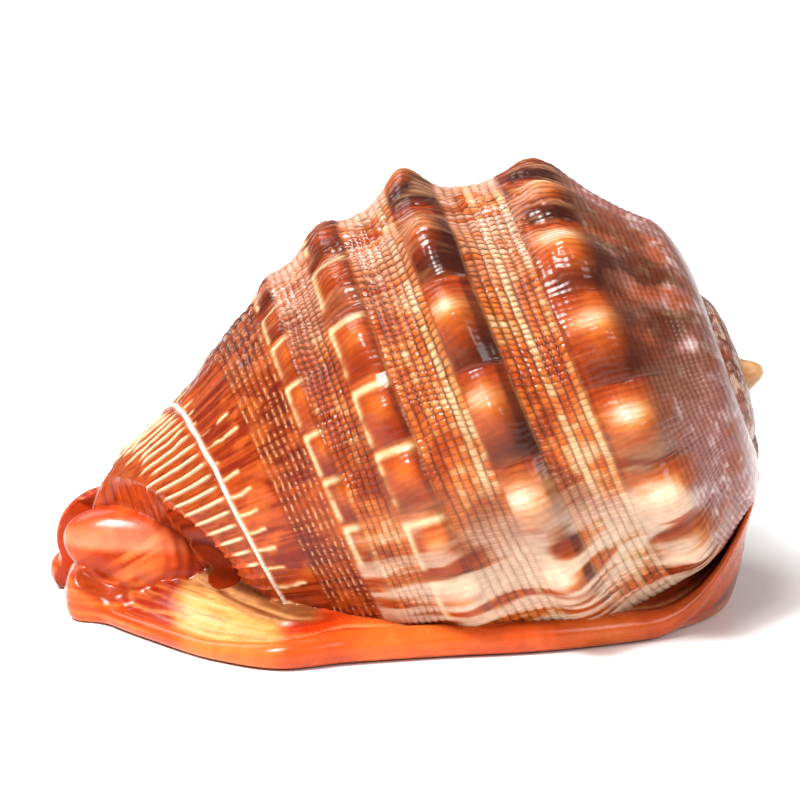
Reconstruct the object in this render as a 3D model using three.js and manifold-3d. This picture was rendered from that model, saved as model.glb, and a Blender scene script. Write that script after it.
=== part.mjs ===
// Bullmouth helmet shell, lying on its mouth: one solid, millimetres, +Z up.
// +X points to the spire, -X to the siphonal canal, -Y to the shield side and +Y to the outer lip.
// The shell coils about a tilted axis. A point on it is given by its distance from the apex along
// the axis, its radius, and its angle, which is 0 on the back and grows towards +Y.

import * as THREE from 'three';
import { ParametricGeometry } from 'three/addons/geometries/ParametricGeometry.js';
import { mergeVertices } from 'three/addons/utils/BufferGeometryUtils.js';
import Module from 'manifold-3d';

const wasm = await Module();
wasm.setup();

// Axis of coiling, tilted up towards the spire
const APEX = new THREE.Vector3(74.6, -3.5, 51);
const AXIS_TILT = 17.5;

// Shift that puts the middle of the whole shell over the origin
const CENTRING = [0.4, -4, 0];

// Growth: each whorl is this many times the size of the one before
const WHORL_GROWTH = 2;
const LATE_GROWTH = 1.42;
const LIP_ANGLE = 130;

// The whorl is shifted along the axis as it grows, most at the spire end
const GROWTH_SHIFT = 0.8;
const SHIFT_FADE = [20, 95];

// Body whorl, seen on the back: distance along the axis, and radius
const BACK_PROFILE = [
  [13, 0], [11.5, 12], [8, 20.5], [10.8, 32.6], [16.6, 38.6], [24, 44.2], [33, 49.2], [43, 52.8], [53, 55],
  [64, 55.6], [74, 54.2], [84, 51], [93, 46.8], [102, 41.4], [111, 35.2], [120, 29.2], [129, 24.2],
  [137, 19.6], [143, 12], [145, 0],
];

// Knobs, in spiral rows that drift along the axis as they go round: station on the back, drift per
// degree, half width, height, half angle of a knob, and the angles of the knobs
const KNOB_ROWS = [
  {
    station: 31.5, drift: 0.03, halfWidth: 8, height: 6.4, halfAngle: 9,
    angles: [88, 64, 40, 16.4, -9, -31, -55.4, -80, -103, -124],
  },
  {
    station: 59.5, drift: 0.048, halfWidth: 6, height: 6.6, halfAngle: 8.5,
    angles: [100, 77, 53, 28, 4.8, -22, -46, -67.5, -91, -113],
  },
  {
    station: 78.8, drift: 0.05, halfWidth: 4.6, height: 3.2, halfAngle: 7,
    angles: [93, 74, 55, 36, 17.6, -1.5, -20.8, -41, -59, -75, -93.6, -112],
  },
  {
    station: 93, drift: 0.08, halfWidth: 3.6, height: 1.9, halfAngle: 6,
    angles: [98, 78, 58, 38, 18, -2, -20, -34, -48, -63, -76, -90],
  },
];
const BAND_SHARE = 0.3;

// A knob is steeper on the side that the shell grows towards
const KNOB_LEAN = { growing: 1.25, grown: 0.88, power: 1.7 };

// Trough between the neck and the canal. Its edge turns round the neck from one angle to another, and
// it grows narrower and deeper towards the end of the neck.
const TROUGH = {
  from: 106, to: 122, start: 108, length: 29, bend: 1.2,
  edge: [95, 9], width: [26, 12], depth: [0.45, 0.78],
};

// Spire: one turn of the coil in section, and how far back it is followed
const COIL_SECTION = [
  [7.2, 18.6], [9, 26.5], [11.6, 33], [17.4, 39.4], [25, 45], [33, 46], [36, 34], [28, 20], [16, 15],
];
const COIL_START = -168;
const COIL_TURNS = 2.75;
const SPIRE_DISH = 2.2;
const APEX_NUB = [[9, 0], [8, 5.6], [5.6, 4.6], [3.2, 3.1], [1.2, 2], [0.2, 1], [0, 0]];

// Shield and outer lip: the outline of the flange in plan, and its section from rim to middle
const FLANGE_OUTLINE = [
  [74.6, 5], [73.4, -8], [66, -21], [49, -32], [28, -39.5], [8, -43], [-10, -47], [-25, -51],
  [-39, -44], [-53, -30], [-63, -18], [-70, -8], [-73, 3], [-75.5, 13], [-64, 25], [-45, 37],
  [-19, 48], [6, 56], [30, 57.5], [50, 52], [64, 40], [72, 23],
];
const FLANGE_SECTION = [
  [0, 0], [0.8, 0], [0.955, 0], [0.99, 1.6], [1, 4.2], [0.985, 6.8], [0.94, 8.8], [0.85, 10.6], [0, 12],
];
const POSTERIOR_LIFT = { height: 26, from: 50, length: 25 };

// Siphonal canal: the near wall, the foot below it, the far wall and the roof that joins the walls. Each
// is a lobe given by its centre, half sizes and how many degrees its long axis dips towards +X.
const CANAL_LOBES = [
  { centre: [-53, -8, 12.8], half: [18.5, 10.2, 9.2], dip: 12.6 },
  { centre: [-61.5, -9.5, 5], half: [9.4, 8.8, 7], dip: 0 },
  { centre: [-60, 8.5, 11.5], half: [14, 8, 11.6], dip: 0 },
  { centre: [-57.5, 2.5, 18.2], half: [10, 9, 6], dip: 0 },
];

// Bowl between the near wall and the neck
const BOWL = { centre: [-42.5, -24, 18], half: [11, 9.5, 7.5], dip: 28.6 };

// Mouth: the slot in plan as middle line and half width, and the canal's channel in side view, with its
// curved inner wall and how far it reaches to either side
const SLOT = [
  [48, 15, 2.4], [40, 15, 4], [20, 14, 5], [-5, 12, 5.2], [-30, 8, 5], [-50, 4, 4.6], [-80, 1.5, 4.6],
];
const SLOT_HEIGHT = 20;
const CANAL_CHANNEL = { end: -80, base: -2, wall: [[-44, 8], [-50, 13], [-56, 19], [-61, 30]] };
const CANAL_SIDES = [-2.4, 5.6];

// Chamber inside the body whorl
const WALL = 5;
const CHAMBER = {
  from: 150, to: -80, posterior: 17, anterior: 110, innerShare: 0.3, floor: 11,
};

const radians = THREE.MathUtils.degToRad;
const { smoothstep, lerp } = THREE.MathUtils;
const tiltPivot = new THREE.Vector3(0, -1, 0);
const alongAxis = new THREE.Vector3(1, 0, 0).applyAxisAngle(tiltPivot, radians(AXIS_TILT));
const backward = new THREE.Vector3(0, 0, 1).applyAxisAngle(tiltPivot, radians(AXIS_TILT));

// The point at a distance from the apex along the axis, a radius and an angle in degrees.
function place(distance, radius, angle, target) {
  return target
    .copy(APEX)
    .addScaledVector(alongAxis, -distance)
    .addScaledVector(backward, radius * Math.cos(radians(angle)))
    .add(new THREE.Vector3(0, radius * Math.sin(radians(angle)), 0));
}

// Size of the coil at an angle of the body whorl, which closes again on its own start below the lip.
function growthAt(angle) {
  const closing = smoothstep(angle, LIP_ANGLE, 180);
  const open = (angle < 0 ? WHORL_GROWTH : LATE_GROWTH) ** (Math.min(angle, LIP_ANGLE) / 360);
  return lerp(open, WHORL_GROWTH ** -0.5, closing);
}

// How many times farther along the axis a station lies where the coil has a given size.
function stretchAt(station, size) {
  return 1 + (size - 1) * GROWTH_SHIFT * (1 - smoothstep(station, ...SHIFT_FADE));
}

// How high the knobs and their spiral bands stand at a station and angle.
function sculpture(station, angle) {
  let height = 0;
  for (const row of KNOB_ROWS) {
    const middle = row.station + row.drift * angle;
    const across = Math.exp(-(((station - middle) / row.halfWidth) ** 2));
    const past = row.angles.map((at) => angle - at).reduce((a, b) => (Math.abs(a) < Math.abs(b) ? a : b));
    const away = Math.abs(past / row.halfAngle) * (past > 0 ? KNOB_LEAN.growing : KNOB_LEAN.grown);
    const knob = lerp(BAND_SHARE, 1, Math.exp(-(away ** KNOB_LEAN.power)));
    height += row.height * across * knob;
  }
  return height * (1 - smoothstep(angle, 110, 140)) * smoothstep(angle, -180, -140);
}

// Share of the neck's radius that the trough takes away.
function troughAt(station, angle) {
  const reach = Math.min(Math.max((station - TROUGH.start) / TROUGH.length, 0), 1) ** TROUGH.bend;
  const edge = lerp(...TROUGH.edge, reach);
  const width = lerp(...TROUGH.width, smoothstep(station, 116, 130));
  const within = angle < 0 ? smoothstep(-angle, edge, edge + width) : smoothstep(angle, 120, 175);
  const depth = lerp(...TROUGH.depth, smoothstep(station, 118, 134));
  return depth * smoothstep(station, TROUGH.from, TROUGH.to) * within;
}

const backProfile = new THREE.SplineCurve(BACK_PROFILE.map(([d, r]) => new THREE.Vector2(d, r)));

// Surface of the body whorl at a share of its profile and an angle, sunk below it by an inset.
function bodySection(share, angle, inset = 0) {
  const { x: station, y: radius } = backProfile.getPoint(share);
  const size = growthAt(angle);
  const stretch = lerp(1, stretchAt(station, size), smoothstep(radius, 0, 12));
  const spread = lerp(1, 0.35, smoothstep(station, 85, 130));
  const onBody = smoothstep(station, 14, 22);
  const neck = 1 - troughAt(station, angle);
  const grown = Math.max(radius, 0) * (1 + (size - 1) * spread) * neck;
  return {
    distance: station * stretch,
    radius: Math.max(grown + onBody * sculpture(station, angle) * (inset ? 0 : 1) - inset, 0),
  };
}

// A closed solid from a surface that wraps round in u and closes at both ends of v.
function solidOf(surface, slices, stacks) {
  const wrapped = (u, v, target) => surface(u % 1, v, target);
  return solidFrom(new ParametricGeometry(wrapped, slices, stacks));
}

function solidFrom(geometry) {
  geometry.deleteAttribute('normal');
  geometry.deleteAttribute('uv');
  const merged = mergeVertices(geometry, 1e-3);
  const corners = merged.index.array;
  const triVerts = [];
  for (let i = 0; i < corners.length; i += 3) {
    const [a, b, c] = corners.slice(i, i + 3);
    if (a !== b && b !== c && c !== a) {
      triVerts.push(a, b, c);
    }
  }
  return new wasm.Manifold(new wasm.Mesh({
    numProp: 3,
    vertProperties: new Float32Array(merged.attributes.position.array),
    triVerts: new Uint32Array(triVerts),
  }));
}

function bodyWhorl() {
  return solidOf((u, v, target) => {
    const angle = 360 * u - 180;
    const { distance, radius } = bodySection(v, angle);
    place(distance, radius, angle, target);
  }, 90, 2 * (BACK_PROFILE.length - 1));
}

// The earlier whorls: one section swept back along the coil, shrinking as it goes.
function spire() {
  const section = new THREE.CatmullRomCurve3(
    COIL_SECTION.map(([d, r]) => new THREE.Vector3(d, r, 0)), true, 'centripetal',
  );
  const middle = new THREE.Vector3(23, 32, 0);
  return solidOf((u, v, target) => {
    const turn = COIL_START - 360 * COIL_TURNS * Math.min(Math.max((v - 0.03) / 0.94, 0), 1);
    const size = WHORL_GROWTH ** (turn / 360);
    const open = v <= 0.001 || v >= 0.999 ? 0 : 1;
    const point = section.getPoint(u).sub(middle).multiplyScalar(open).add(middle);
    const radius = point.y * size;
    const dish = SPIRE_DISH * Math.exp(-((radius / 9) ** 2));
    place(1 + (point.x - 1) * size + dish, radius, turn, target);
  }, 10, 84);
}

function apexNub() {
  return solidOf((u, v, target) => {
    const at = v * (APEX_NUB.length - 1);
    const step = Math.min(Math.floor(at), APEX_NUB.length - 2);
    const [before, after] = [APEX_NUB[step], APEX_NUB[step + 1]];
    place(lerp(before[0], after[0], at - step), lerp(before[1], after[1], at - step), -360 * u, target);
  }, 16, 12);
}

// The flange of shield and lip, flat beneath, with its posterior end curling up the spire.
function flange() {
  const outline = new THREE.CatmullRomCurve3(
    FLANGE_OUTLINE.map(([x, y]) => new THREE.Vector3(x, y, 0)), true, 'centripetal',
  );
  return solidOf((u, v, target) => {
    const at = v * (FLANGE_SECTION.length - 1);
    const step = Math.min(Math.floor(at + 1e-6), FLANGE_SECTION.length - 2);
    const share = lerp(FLANGE_SECTION[step][0], FLANGE_SECTION[step + 1][0], at - step);
    const height = lerp(FLANGE_SECTION[step][1], FLANGE_SECTION[step + 1][1], at - step);
    const rim = outline.getPoint(1 - u);
    const curl = Math.max((rim.x - POSTERIOR_LIFT.from) / POSTERIOR_LIFT.length, 0) ** 2;
    const underneath = height < 3;
    const lift = POSTERIOR_LIFT.height * curl * smoothstep(share, underneath ? 0.9 : 0.75, 1);
    target.set(rim.x * share, rim.y * share, height + lift);
  }, 66, (FLANGE_SECTION.length - 1));
}

function lobe({ centre, half, dip }) {
  const geometry = new THREE.SphereGeometry(1, 22, 12);
  geometry.scale(...half);
  geometry.rotateY(radians(dip));
  geometry.translate(...centre);
  return solidFrom(geometry);
}

// A flat shape given thickness, from one height to another.
function slab(points, from, to) {
  const shape = new THREE.Shape(points.map(([x, y]) => new THREE.Vector2(x, y)));
  const geometry = new THREE.ExtrudeGeometry(shape, { depth: to - from, bevelEnabled: false });
  geometry.translate(0, 0, from);
  return geometry;
}

function mouthSlot() {
  const side = (sign) => {
    const curve = new THREE.CatmullRomCurve3(
      SLOT.map(([x, y, half]) => new THREE.Vector3(x, y + sign * half, 0)), false, 'centripetal',
    );
    return curve.getPoints(22).map((p) => [p.x, p.y]);
  };
  return solidFrom(slab([...side(1), ...side(-1).reverse()], -1, SLOT_HEIGHT));
}

function canalChannel() {
  const { end, base, wall } = CANAL_CHANNEL;
  const curve = new THREE.CatmullRomCurve3(
    wall.map(([x, z]) => new THREE.Vector3(x, z, 0)), false, 'centripetal',
  );
  const inner = curve.getPoints(8).map((p) => [p.x, p.y]);
  const [low, high] = [wall[0], wall[wall.length - 1]];
  const outline = [[end, base], [low[0], base], ...inner, [end, high[1]]];
  const geometry = slab(outline, -CANAL_SIDES[1], -CANAL_SIDES[0]);
  geometry.rotateX(Math.PI / 2);
  return solidFrom(geometry);
}

// The living chamber: a hollow that follows the body whorl back from the mouth inside its wall.
function chamber() {
  const hollow = solidOf((u, v, target) => {
    const along = Math.min(Math.max((v - 0.04) / 0.92, 0), 1);
    const angle = lerp(CHAMBER.from, CHAMBER.to, along);
    const size = growthAt(Math.min(angle, LIP_ANGLE));
    const open = v <= 0.001 || v >= 0.999 ? 0 : lerp(1, 0.8, along);
    const turn = -2 * Math.PI * u;
    const middle = (CHAMBER.posterior + CHAMBER.anterior) / 2;
    const station = middle + ((CHAMBER.anterior - CHAMBER.posterior) / 2) * Math.cos(turn) * open;
    const outer = bodySection(shareAt(station), Math.min(angle, LIP_ANGLE), WALL).radius;
    const inner = outer * CHAMBER.innerShare;
    const radius = (outer + inner) / 2 + ((outer - inner) / 2) * Math.sin(turn) * open;
    place(station * stretchAt(station, size), radius, angle, target);
  }, 20, 24);
  return hollow.trimByPlane([0, 0, 1], CHAMBER.floor);
}

// Share of the back profile at which it reaches a station along the axis.
function shareAt(station) {
  let [low, high] = [0.12, 1];
  for (let i = 0; i < 24; i += 1) {
    const share = (low + high) / 2;
    if (backProfile.getPoint(share).x < station) {
      low = share;
    } else {
      high = share;
    }
  }
  return low;
}

const outside = [bodyWhorl(), spire(), apexNub(), flange(), ...CANAL_LOBES.map(lobe)]
  .reduce((whole, piece) => whole.add(piece))
  .trimByPlane([0, 0, 1], 0);
const solid = [lobe(BOWL), chamber(), mouthSlot(), canalChannel()]
  .reduce((whole, hollow) => whole.subtract(hollow), outside);

const made = solid.getMesh();
const geometry = new THREE.BufferGeometry();
geometry.setAttribute('position', new THREE.BufferAttribute(new Float32Array(made.vertProperties), 3));
geometry.setIndex(new THREE.BufferAttribute(new Uint32Array(made.triVerts), 1));
geometry.translate(...CENTRING);
geometry.computeVertexNormals();

const shell = new THREE.Mesh(geometry, new THREE.MeshStandardMaterial({
  color: 0xb4562a,
  roughness: 0.22,
  metalness: 0,
}));
shell.name = 'shell';

const root = new THREE.Group();
root.add(shell);
export default root;
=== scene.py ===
# Bullmouth helmet shell, lying on its mouth. Lengths are in millimetres until a mesh is made.
# +X points to the spire, -X to the siphonal canal, -Y to the shield side and +Y to the outer lip.
# The body whorl coils about a tilted axis. Its points are given by their station, which is the distance
# from the apex along the axis, their radius, and their angle, which is 0 on the back and grows towards +Y.
import math
from types import SimpleNamespace

import bmesh
import bpy
import numpy as np
import openvdb
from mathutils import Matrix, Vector


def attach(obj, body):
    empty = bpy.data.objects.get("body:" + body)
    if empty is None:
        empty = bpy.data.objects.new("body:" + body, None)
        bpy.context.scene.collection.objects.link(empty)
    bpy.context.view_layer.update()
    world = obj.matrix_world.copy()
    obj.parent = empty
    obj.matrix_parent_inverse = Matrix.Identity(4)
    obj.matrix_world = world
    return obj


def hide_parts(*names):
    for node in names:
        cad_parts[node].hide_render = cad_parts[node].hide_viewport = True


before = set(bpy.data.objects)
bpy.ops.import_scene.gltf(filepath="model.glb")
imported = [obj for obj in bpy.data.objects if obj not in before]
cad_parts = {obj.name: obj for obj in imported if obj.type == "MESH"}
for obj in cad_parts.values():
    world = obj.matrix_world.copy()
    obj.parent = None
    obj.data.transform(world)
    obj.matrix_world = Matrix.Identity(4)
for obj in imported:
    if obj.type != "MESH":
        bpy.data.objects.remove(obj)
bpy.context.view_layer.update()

# ---------------------------------------------------------------- shape constants
CENTRING = np.array([0.4, -4.0, 0.0])
APEX = np.array([74.6, -3.5, 51.0])
AXIS_TILT = math.radians(17.5)
ALONG = np.array([math.cos(AXIS_TILT), 0, math.sin(AXIS_TILT)])
BACKWARD = np.array([-math.sin(AXIS_TILT), 0, math.cos(AXIS_TILT)])
SIDEWAYS = np.array([0.0, 1.0, 0.0])
WHORL_GROWTH = 2.0
LATE_GROWTH = 1.42
LIP_ANGLE = 130.0
LOWEST_OUTSIDE = 0.6

BACK_PROFILE = np.array([
    [13, 0], [11.5, 12], [8, 20.5], [10.8, 32.6], [16.6, 38.6], [24, 44.2], [33, 49.2], [43, 52.8],
    [53, 55], [64, 55.6], [74, 54.2], [84, 51], [93, 46.8], [102, 41.4], [111, 35.2], [120, 29.2],
    [129, 24.2], [137, 19.6], [143, 12], [145, 0],
])
BODY_COLUMNS = 1300
BODY_ROWS = 600

# Station on the back, drift per degree, half width, height, half angle of a knob, angles of the knobs
KNOB_ROWS = [
    (31.5, 0.03, 8, 6.4, 9, [88, 64, 40, 16.4, -9, -31, -55.4, -80, -103, -124]),
    (59.5, 0.048, 6, 6.6, 8.5, [100, 77, 53, 28, 4.8, -22, -46, -67.5, -91, -113]),
    (78.8, 0.05, 4.6, 3.2, 7, [93, 74, 55, 36, 17.6, -1.5, -20.8, -41, -59, -75, -93.6, -112]),
    (93, 0.08, 3.6, 1.9, 6, [98, 78, 58, 38, 18, -2, -20, -34, -48, -63, -76, -90]),
]
BAND_SHARE = 0.3

# How bright the crest of each knob is, in the first two rows: the crest is partly the knob's own cream and
# partly a painted highlight, and bright knobs also get more painted orange glow
KNOB_CREST_AND_HIGHLIGHT = [
    [0.6, 0.9, 0.7, 0.25, 0.9, 1.0, 0.6, 0.8, 1.0, 0.8],
    [0.7, 0.5, 0.8, 0.5, 1.0, 0.35, 0.7, 0.5, 0.9, 0.9],
]

# Drift per degree of the spiral bands, and how many cords lie before each band
DRIFT_STATIONS = [0, 30, 60, 78, 92, 119, 145]
DRIFTS = [0.02, 0.03, 0.048, 0.05, 0.08, 0.155, 0.155]
CORD_BANDS = [-30, 28, 41, 53.7, 63.8, 75, 83.8, 92.3, 97, 108.5, 200]
CORD_COUNTS = [-52, 0, 8, 15, 21, 28, 33, 39, 42, 49, 110]
CELL_BANDS = [(41, 53.7), (63.8, 75), (83.8, 92.3)]
LINE_BAND = (97, 108.5)
DASH_BAND = (108.5, 119)
RIDGE_BAND = 119.5
GROWTH_LINE_SPACING = 1.667
RIB_SPACING = 5.3
DASH_SPACING = 7

# Dark strips beside the knobs: band from and to, softness, strength
DARK_STRIPS = [
    (53.4, 56.0, 0.4, 1.0), (75.2, 76.6, 0.3, 0.7), (92.3, 93.2, 0.3, 0.6), (39.8, 41.4, 0.4, 0.6),
]

COIL_SECTION = [
    [7.2, 18.6], [9, 26.5], [11.6, 33], [17.4, 39.4], [25, 45], [33, 46], [36, 34], [28, 20], [16, 15],
]
COIL_START = -168
COIL_TURNS = 2.75
COIL_COLUMNS = 150
COIL_ROWS = 1100
SPIRE_DISH = 2.2
APEX_NUB = np.array([[9, 0], [8, 5.6], [5.6, 4.6], [3.2, 3.1], [1.2, 2], [0.2, 1], [0, 0]])

FLANGE_OUTLINE = [
    [74.6, 5], [73.4, -8], [66, -21], [49, -32], [28, -39.5], [8, -43], [-10, -47], [-25, -51],
    [-39, -44], [-53, -30], [-63, -18], [-70, -8], [-73, 3], [-75.5, 13], [-64, 25], [-45, 37],
    [-19, 48], [6, 56], [30, 57.5], [50, 52], [64, 40], [72, 23],
]
FLANGE_LIFT = 26
RIM_STATIONS = [-78, -66, -58, -40, -15, 45, 60, 78]
RIM_HEIGHTS = [2.6, 2.4, 1.9, 1.9, 3.4, 3.2, 2.8, 2.6]
LIP_RIM_HEIGHT = 4.4

# Lobes and hollows round the canal: centre, half sizes, and lean of the long axis towards +X
NEAR_WALL = ((-53.0, -8.0, 12.8), (18.5, 10.2, 9.2), 0.22)
FAR_WALL = ((-60.0, 8.5, 11.5), (14.0, 8.0, 11.6), 0.0)
ROOF = ((-57.5, 2.5, 18.2), (10.0, 9.0, 6.0), 0.0)
POCKET = ((-63.5, -18.5, 9.8), (6.5, 5.0, 3.2), 0.38)
BOWL = ((-42.5, -24.0, 18.0), (11.0, 9.5, 7.5), 0.50)
FOOT = ((-61.5, -9.5, 5.0), (8.9, 8.0, 6.5), 4.6)

# Mouth: middle line and half width of the slot, then the top and the sides of the canal's channel
SLOT_MIDDLE = ([-80, -50, -30, -5, 20, 40, 48], [1.5, 4, 8, 12, 14, 15, 15])
SLOT_HALF = ([-80, -50, -30, -5, 20, 40, 47, 51, 60], [4.6, 4.6, 5, 5.2, 5, 4, 2.4, -3, -12])
SLOT_HEIGHT = 20
CHANNEL_TOP = ([-80, -61, -56, -50, -44], [60, 30, 19, 13, 8])
CHANNEL_END = -44
CHANNEL_MIDDLE = 1.6
CHANNEL_HALF = 4.0
LIP_TOOTH_PITCH = 4.4
FOLD_PITCH = 3.1
VOXEL = 0.6

CHAMBER_ANGLES = (150.0, -80.0)
CHAMBER_MIDDLE = 63.5
CHAMBER_HALF = 46.5
CHAMBER_FLOOR = 11
WALL = 5

# What the alpha of Col says about a point until the joins are healed
BODY_MARK = 0.0
CALLUS_MARK = 0.25
HOLLOW_MARK = 0.5
JOIN_MARK = 0.9

# Colours, linear light
DARK_BROWN = (0.060, 0.014, 0.011)
RED_BROWN = (0.25, 0.030, 0.011)
ORANGE_BROWN = (0.45, 0.088, 0.022)
ORANGE = (0.72, 0.20, 0.050)
CREAM = (0.90, 0.60, 0.34)
PALE = (0.86, 0.64, 0.46)
MAUVE = (0.42, 0.21, 0.20)
PINK = (0.84, 0.52, 0.38)
KNOB_ORANGE_HIGHLIGHT = (0.86, 0.33, 0.08)
RAMP_FLECK = (0.80, 0.62, 0.52)
RIDGE_WHITE = (0.93, 0.78, 0.62)
NECK_ORANGE = (0.46, 0.105, 0.025)
RIB_SHADOW = (0.24, 0.04, 0.015)
RIB_CREAM = (0.92, 0.69, 0.45)
TROUGH_RED = (0.66, 0.125, 0.036)
TROUGH_LINE = (0.28, 0.035, 0.012)
TROUGH_SHADE = (0.14, 0.022, 0.010)
APEX_TAN = (0.62, 0.40, 0.22)
RIM_RED = (0.68, 0.11, 0.028)
RIM_ORANGE = (0.86, 0.25, 0.065)
FLANGE_STREAK = (0.92, 0.50, 0.18)
FLANGE_HIGHLIGHT_LINE = (0.95, 0.55, 0.32)
WEDGE_TAN = (0.60, 0.32, 0.16)
WEDGE_LINE = (0.26, 0.10, 0.05)
FOOT_DARK = (0.46, 0.050, 0.014)
FOOT_LIGHT = (0.90, 0.34, 0.12)
POCKET_SHADE_RED = (0.34, 0.042, 0.014)
WALL_RED = (0.68, 0.120, 0.038)
WALL_LINE = (0.38, 0.045, 0.014)
WALL_LIGHT = (0.86, 0.33, 0.14)
WALL_TOP = (0.62, 0.070, 0.020)
WALL_RIM_HIGHLIGHT = (0.92, 0.42, 0.28)
WALL_FOLD = (0.26, 0.028, 0.010)
BASE_ORANGE = (0.68, 0.17, 0.05)
BASE_LIGHT = (0.84, 0.36, 0.14)
BASE_CREAM = (0.86, 0.50, 0.24)
BOWL_RED = (0.62, 0.105, 0.030)
BOWL_LINE = (0.28, 0.032, 0.010)
BOWL_FLOOR_SHADE = (0.30, 0.035, 0.012)
MOUTH_BROWN = (0.40, 0.10, 0.03)
CANAL_RED = (0.60, 0.075, 0.022)
TOOTH_DARK = (0.30, 0.04, 0.015)
CHAMBER_TAN = (0.55, 0.22, 0.09)

# Colour of the top of the flange along its length
RIM_COLOURS = [
    (-76, (0.66, 0.10, 0.030)), (-66, (0.66, 0.085, 0.024)), (-60, (0.60, 0.055, 0.014)),
    (-55, (0.36, 0.026, 0.010)), (-48, (0.38, 0.028, 0.010)), (-44, (0.90, 0.46, 0.20)),
    (-35, (0.90, 0.42, 0.17)), (-27, (0.88, 0.34, 0.12)), (-23, (0.62, 0.052, 0.008)),
    (-13, (0.66, 0.070, 0.012)), (-6, (0.86, 0.19, 0.050)), (8, (0.86, 0.21, 0.050)),
    (16, (0.68, 0.095, 0.024)), (34, (0.54, 0.052, 0.012)), (41, (0.80, 0.20, 0.060)),
    (49, (0.36, 0.062, 0.028)), (62, (0.27, 0.050, 0.028)), (76, (0.36, 0.080, 0.040)),
]
FAR_SIDE_SHIFT = 9


# ---------------------------------------------------------------- numbers
def smooth(x, low, high):
    t = np.clip((x - low) / (high - low), 0, 1)
    return t * t * (3 - 2 * t)


def lerp(a, b, t):
    return a + (b - a) * t


def window(x, low, high, soft):
    """1 between low and high, with soft edges."""
    return smooth(x, low - soft, low + soft) * (1 - smooth(x, high - soft, high + soft))


def bump_at(x, middle, width):
    return np.exp(-(((x - middle) / width) ** 2))


def groove(phase, width):
    """1 along whole numbers, falling to 0 between them."""
    return bump_at(phase - np.round(phase), 0, width)


def scatter(i, j, seed):
    """A fixed number from 0 to 1 for each pair of whole numbers."""
    n = (i.astype(np.int64) * 374761393 + j.astype(np.int64) * 668265263 + seed * 974711) & 0xFFFFFFFF
    n = ((n ^ (n >> 13)) * 1274126177) & 0xFFFFFFFF
    return ((n ^ (n >> 16)) & 0xFFFF) / 65535.0


def noise(x, y, seed):
    """Smooth noise from 0 to 1 on a unit lattice."""
    i, j = np.floor(x), np.floor(y)
    u, v = x - i, y - j
    u, v = u * u * (3 - 2 * u), v * v * (3 - 2 * v)
    low = lerp(scatter(i, j, seed), scatter(i + 1, j, seed), u)
    high = lerp(scatter(i, j + 1, seed), scatter(i + 1, j + 1, seed), u)
    return lerp(low, high, v)


def layered(x, y, seed, octaves=3):
    """Noise in octaves, each turned and bent so that no lattice shows."""
    total, share = 0, 0
    for k in range(octaves):
        x, y = 0.8 * x - 0.6 * y + 5.3, 0.6 * x + 0.8 * y + 1.7
        bend = noise(x * 0.7 + 9, y * 0.7, seed + 50 + k) - 0.5
        total = total + noise(x + bend, y - bend, seed + k) / 2 ** k
        share += 1 / 2 ** k
        x, y = x * 2, y * 2
    return total / share


def streaks(x, y, seed, octaves=3):
    """Noise whose two directions stay apart, for lines that run along x."""
    total, share = 0, 0
    for k in range(octaves):
        across = y * 2 ** k + 0.6 * noise(x, y / 3, seed + 90)
        total = total + noise(x * 1.5 ** k, across, seed + k) / 1.6 ** k
        share += 1 / 1.6 ** k
    return total / share


def mix(below, above, weight):
    w = np.clip(weight, 0, 1)[..., None]
    return below * (1 - w) + np.asarray(above) * w


def painted(shape, colour):
    """An array of one colour."""
    return np.zeros(tuple(shape) + (3,)) + colour


def spline(points, share):
    """Uniform Catmull-Rom curve through the points."""
    last = len(points) - 1
    at = np.clip(share, 0, 1) * last
    i = np.minimum(np.floor(at).astype(int), last - 1)
    w = (at - i)[..., None]
    p0, p1, p2 = points[np.maximum(i - 1, 0)], points[i], points[i + 1]
    p3 = points[np.minimum(i + 2, last)]
    v0, v1 = (p2 - p0) / 2, (p3 - p1) / 2
    return (2 * p1 - 2 * p2 + v0 + v1) * w ** 3 + (-3 * p1 + 3 * p2 - 2 * v0 - v1) * w ** 2 + v0 * w + p1


def closed_curve(points, count):
    """Closed centripetal Catmull-Rom curve, sampled evenly in parameter."""
    pts = np.asarray(points, float)
    n = len(pts)
    out = []
    for k in range(count):
        at = k * n / count
        i = int(at)
        w = at - i
        p0, p1, p2, p3 = (pts[(i + d) % n] for d in (-1, 0, 1, 2))
        d0, d1, d2 = (max(np.linalg.norm(b - a), 1e-6) ** 0.5 for a, b in ((p0, p1), (p1, p2), (p2, p3)))
        v1 = ((p1 - p0) / d0 - (p2 - p0) / (d0 + d1) + (p2 - p1) / d1) * d1
        v2 = ((p2 - p1) / d1 - (p3 - p1) / (d1 + d2) + (p3 - p2) / d2) * d1
        cubic = (2 * p1 - 2 * p2 + v1 + v2) * w ** 3
        out.append(cubic + (-3 * p1 + 3 * p2 - 2 * v1 - v2) * w ** 2 + v1 * w + p1)
    return np.array(out)


# ---------------------------------------------------------------- body whorl
def place(distance, radius, angle):
    turn = np.radians(angle)
    return (
        APEX
        - distance[..., None] * ALONG
        + (radius * np.cos(turn))[..., None] * BACKWARD
        + (radius * np.sin(turn))[..., None] * SIDEWAYS
    )


def growth_at(angle):
    """Size of the coil at an angle. It closes again on its own start below the lip."""
    opened = np.where(angle < 0, WHORL_GROWTH, LATE_GROWTH) ** (np.minimum(angle, LIP_ANGLE) / 360)
    return lerp(opened, WHORL_GROWTH ** -0.5, smooth(angle, LIP_ANGLE, 180))


def spread_at(station):
    """Share of the growth that the radius takes up."""
    return lerp(1, 0.35, smooth(station, 85, 130))


def shift_at(station):
    """Share of the growth by which a station moves along the axis."""
    return 0.8 * (1 - smooth(station, 20, 95))


def fasciole_edge(station):
    """Angle below the back at which the fasciole ends and the neck turns in."""
    reach = np.clip((station - 108) / 29, 0, 1) ** 1.2
    return 95 - 86 * reach


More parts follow.
